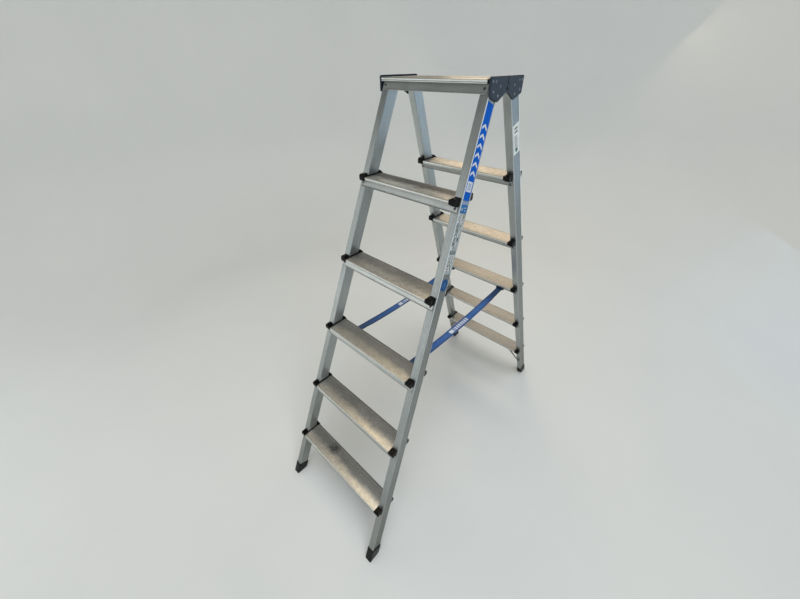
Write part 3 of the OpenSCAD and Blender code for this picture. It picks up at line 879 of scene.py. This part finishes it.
def stitches(name, x0, bar_y, bar_z, mid_z, sign, body):
    """A sewn box with a cross in it, through both layers of the strap's doubled end."""
    length, sag = abs(bar_y), bar_z - mid_z
    verts, faces = [], []

    def on_strap(d, w, face):
        """A point on the upper or lower face, d from the bar and w across, and the face's direction."""
        drop, slope = strap_line(d, length, sag)
        norm = math.hypot(1, slope)
        n = face * (LAYER + STRAP_T / 2 + 0.05 * MM)
        up = Vector((0, sign * slope / norm, 1 / norm)) * face
        return Vector((x0 + w, sign * (d - length + n * slope / norm), bar_z - drop + n / norm)), up

    # The box starts and ends 18 mm inside the tail, and stays 2.6 mm off the webbing's edges
    d0, d1, hw = 18 * MM, TAIL - 18 * MM, STRAP_W / 2 * GATHER - 2.6 * MM
    corners = [(d0, -hw), (d0, hw), (d1, hw), (d1, -hw)]
    lines = list(zip(corners, corners[1:] + corners[:1]))
    lines += [(corners[0], corners[2]), (corners[1], corners[3])]
    for face in (1, -1):
        for (da, wa), (db, wb) in lines:
            count = max(2, round(math.hypot(db - da, wb - wa) / STITCH_PITCH))
            for i in range(count):
                s, e = (i + 0.12) / count, (i + 0.88) / count
                a, up = on_strap(da + (db - da) * s, wa + (wb - wa) * s, face)
                b, _ = on_strap(da + (db - da) * e, wa + (wb - wa) * e, face)
                capsule(verts, faces, a, b, STITCH_R, up)
    obj = add_piece(name, verts, faces, THREAD, body, True)
    fix_normals(obj)


blue_strip_art()
small_label_art()
pictogram_art()
badge_art()
rear_label_art()
for side in SIDES:
    build_strap(side)


# ---------------------------------------------------------------- stage, light and camera
# Where the floor ends and its cove begins, the cove's radius, and the top of the wall
COVE_START, COVE_R, WALL_TOP = 2.35, 1.1, 6.0
# The heights between which painted shade darkens the wall
SHADE_FROM, SHADE_TO = 2.35, 3.0


def floor_material():
    """Pale floor with faint clouds, and painted shade that darkens it up the wall."""
    s = Shader("studio_floor")
    p = s.coords()
    cloud = s.noise(p, scale=1.3, detail=6, roughness=0.62)
    tone = s.mix(s.ramp(cloud, 0.3, 0.72), (0.690, 0.708, 0.706), (0.718, 0.734, 0.726))
    tone = s.scaled(tone, s.ramp(s.split(p)[2], SHADE_FROM, SHADE_TO, 1.0, 0.40, True))
    s.set(Base_Color=tone, Roughness=0.55, Specular_IOR_Level=0.3)
    return s.material


def build_stage():
    """A wide pale floor that curves up into a wall behind the ladder, open on the camera's side."""
    verts, faces = [], []
    # The direction of the wall's middle, and how far round it goes
    centre, spread = math.atan2(0.86, -0.5), math.radians(250)
    profile = [(0.0, 0.0), (1.2, 0.0), (COVE_START, 0.0)]
    for a in np.linspace(0.1, math.pi / 2, 16):
        profile.append((COVE_START + COVE_R * math.sin(a), COVE_R * (1 - math.cos(a))))
    profile.append((COVE_START + COVE_R, WALL_TOP))
    steps = 48
    for i in range(steps + 1):
        a = centre + (i / steps - 0.5) * spread
        for r, z in profile:
            verts.append((r * math.cos(a), r * math.sin(a), z))
    m = len(profile)
    for i in range(steps):
        for k in range(m - 1):
            q = i * m + k
            faces.append((q, q + m, q + m + 1, q + 1))
    wall = add_piece("studio_cove", verts, faces, floor_material(), None, True)
    # A larger flat floor just under it
    big = 14
    corners = [(x * big, y * big, -0.0004) for x, y in ((-1, -1), (1, -1), (1, 1), (-1, 1))]
    ground = add_piece("studio_floor", corners, [(0, 1, 2, 3)], wall.data.materials[0], None)


def area_light(name, place, aim, size, power, colour):
    light = bpy.data.lights.new(name, "AREA")
    light.shape, light.size, light.size_y = "RECTANGLE", size[0], size[1]
    light.energy, light.color = power, colour
    obj = bpy.data.objects.new(name, light)
    bpy.context.scene.collection.objects.link(obj)
    obj.visible_camera = False
    obj.location = place
    obj.rotation_mode = "QUATERNION"
    obj.rotation_quaternion = (Vector(aim) - Vector(place)).to_track_quat("-Z", "Y")


def build_light():
    """A dim sky, a soft light overhead, warm lamps, a pale wall of light, a cool window and a cool side."""
    world = bpy.data.worlds.new("studio")
    world.use_nodes = True
    sky = world.node_tree.nodes["Background"].inputs
    sky["Color"].default_value, sky["Strength"].default_value = (0.95, 0.955, 0.93, 1), 0.22
    bpy.context.scene.world = world
    bpy.context.scene.view_settings.view_transform = "Standard"
    area_light("overhead", (1.0, -0.6, 4.6), (0, 0, 0.3), (2.6, 2.4), 105, (0.99, 1.0, 1.0))
    area_light("warm_lamp", (-0.92, 0.42, 3.5), (0.1, -0.4, 0.4), (0.55, 0.65), 8.2, (1.0, 0.80, 0.50))
    area_light("warm_mid", (-1.05, 1.45, 3.1), (0.1, -0.3, 0.9), (0.6, 0.5), 2.6, (1.0, 0.80, 0.55))
    area_light("warm_low", (-0.95, 3.05, 1.95), (0.1, 0.1, 1.2), (2.1, 0.40), 14, (1.0, 0.80, 0.55))
    area_light("front_wall", (-1.15, -2.6, 1.2), (0, -0.3, 1.0), (2.9, 2.3), 18.5, (0.94, 0.98, 0.98))
    area_light("window", (2.7, -1.9, 1.25), (0, 0, 0.9), (0.9, 1.7), 14, (0.74, 0.90, 1.0))
    area_light("cool_side", (1.8, 2.5, 1.2), (0, 0, 1.0), (1.6, 1.6), 6, (0.42, 0.68, 1.0))


def build_camera():
    """The camera that was fitted to the photograph."""
    camera = bpy.data.cameras.new("camera")
    camera.lens, camera.sensor_width = 14.387, 36
    camera.clip_start, camera.clip_end = 0.02, 60
    obj = bpy.data.objects.new("camera", camera)
    bpy.context.scene.collection.objects.link(obj)
    place, aim, roll = Vector((0.6335, -0.8780, 1.5742)), Vector((0.0106, -0.2130, 0.9048)), -0.0111
    obj.location = place
    obj.rotation_mode = "QUATERNION"
    obj.rotation_quaternion = (aim - place).to_track_quat("-Z", "Y") @ Quaternion((0, 0, 1), roll)
    bpy.context.scene.camera = obj


build_stage()
build_light()
build_camera()
